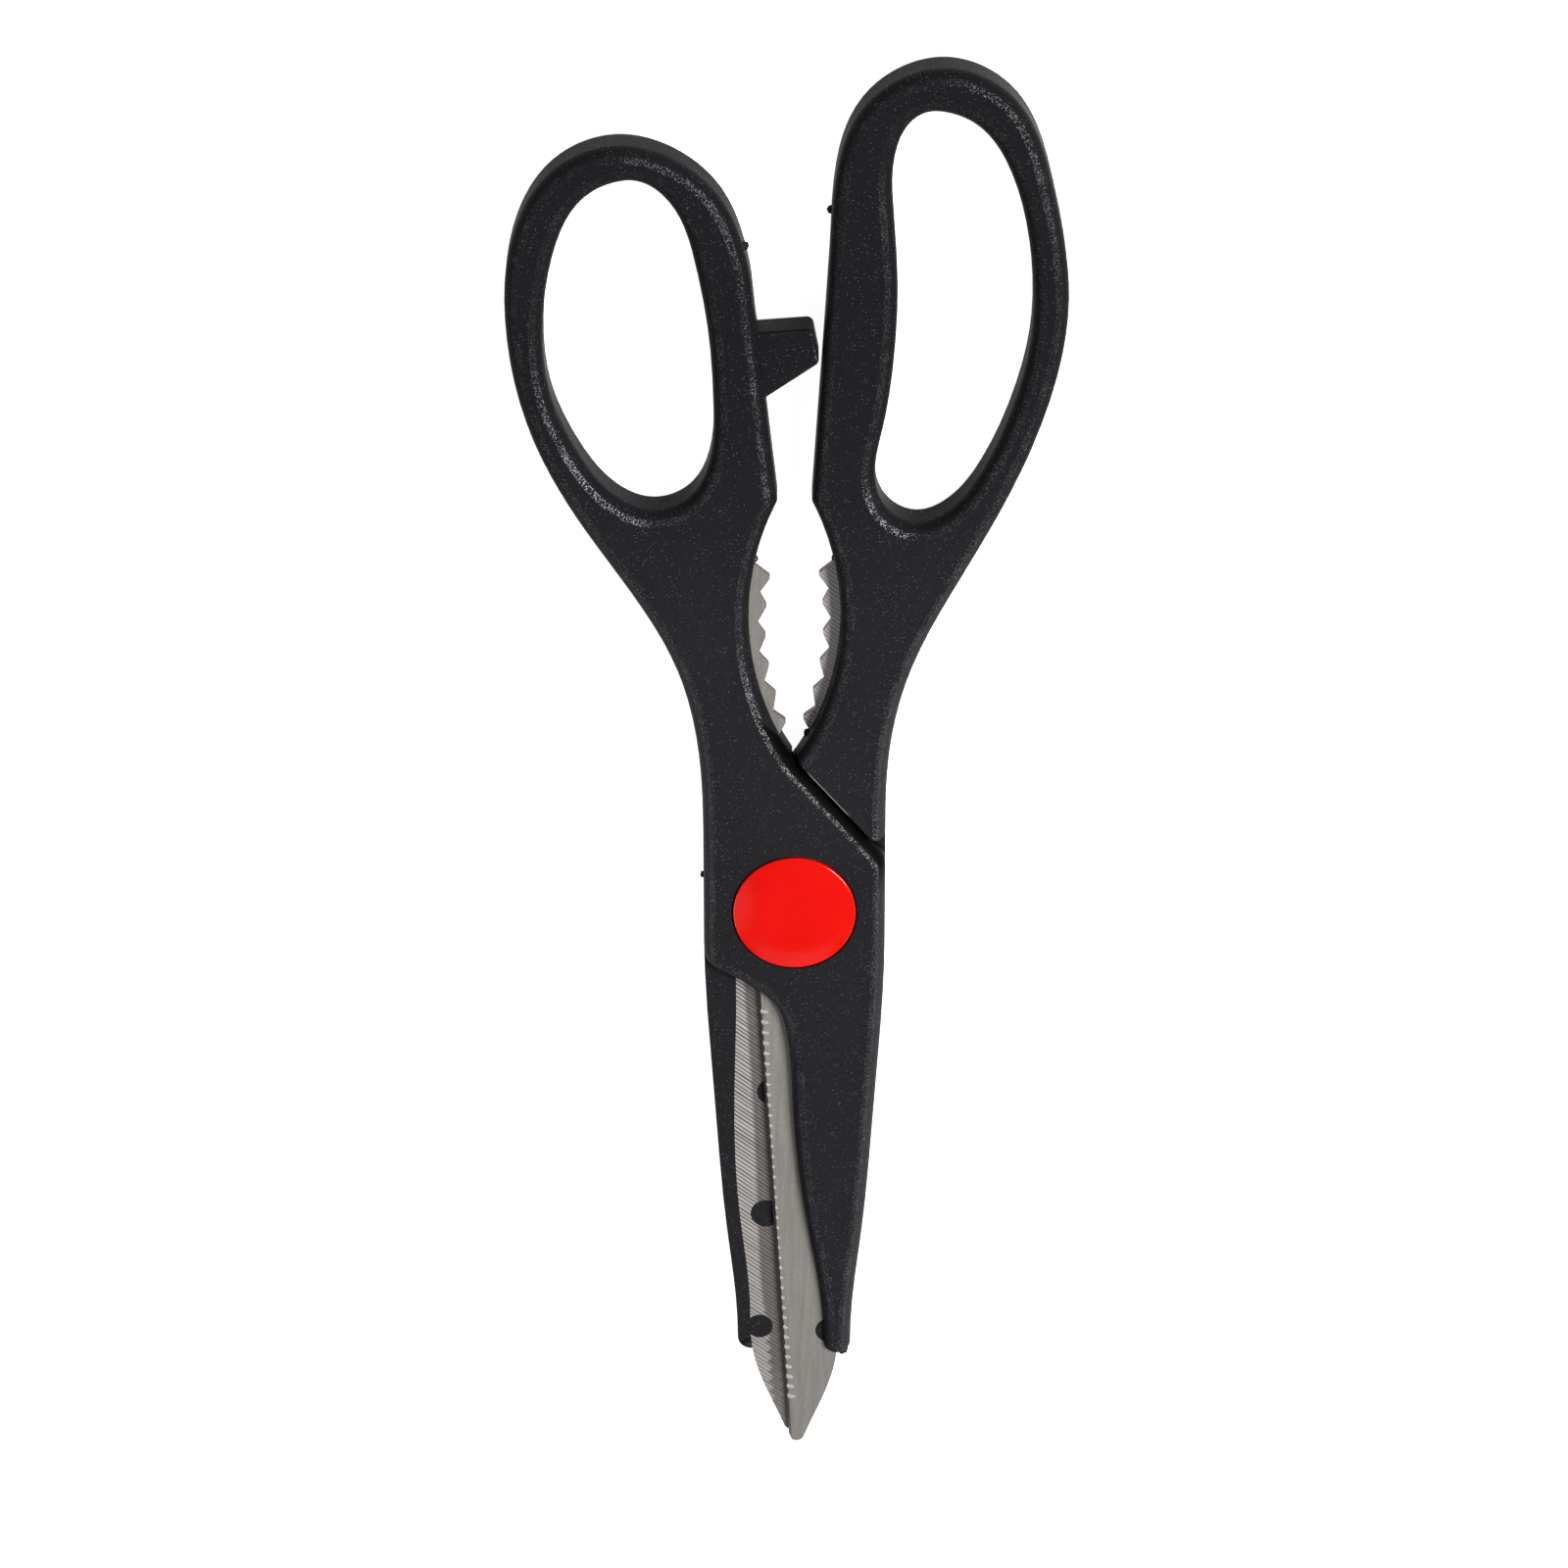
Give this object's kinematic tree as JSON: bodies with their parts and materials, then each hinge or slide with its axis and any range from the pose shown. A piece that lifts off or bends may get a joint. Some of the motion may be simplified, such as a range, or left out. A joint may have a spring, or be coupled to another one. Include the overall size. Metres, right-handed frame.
{
  "type": "kitchen shears",
  "caption": "Kitchen shears with black overmoulded grips, a red pivot cap, a serrated blade, nutcracker jaws and a bottle-opener lug.",
  "frame": {"origin": "on the pivot's axis, in the plane that the shears rest on", "axes": "+Z along the pivot towards the front face, +Y up the closed shears towards the finger loops"},
  "size_m": [0.0797, 0.2233, 0.0084],
  "materials": {
    "satin_steel": "satin",
    "ground_steel": "ground across the blade",
    "rivet_steel": "plain",
    "black_plastic": "fine grain",
    "red_plastic": "gloss"
  },
  "bodies": {
    "rear_half": {"rear_blade": "ground_steel", "rear_handle": "black_plastic", "rear_cap": "red_plastic", "pivot_rivet": "rivet_steel", "spring_washer": "rivet_steel", "flat_washer": "rivet_steel"},
    "front_half": {"front_blade": "satin_steel", "front_handle": "black_plastic", "front_cap": "red_plastic"}
  },
  "joints": [
    {"name": "pivot", "type": "hinge", "parent": "rear_half", "child": "front_half", "pos_m": [0, 0, 0.0042], "axis": [0, 0, 1], "range_deg": [0, 76]}
  ]
}
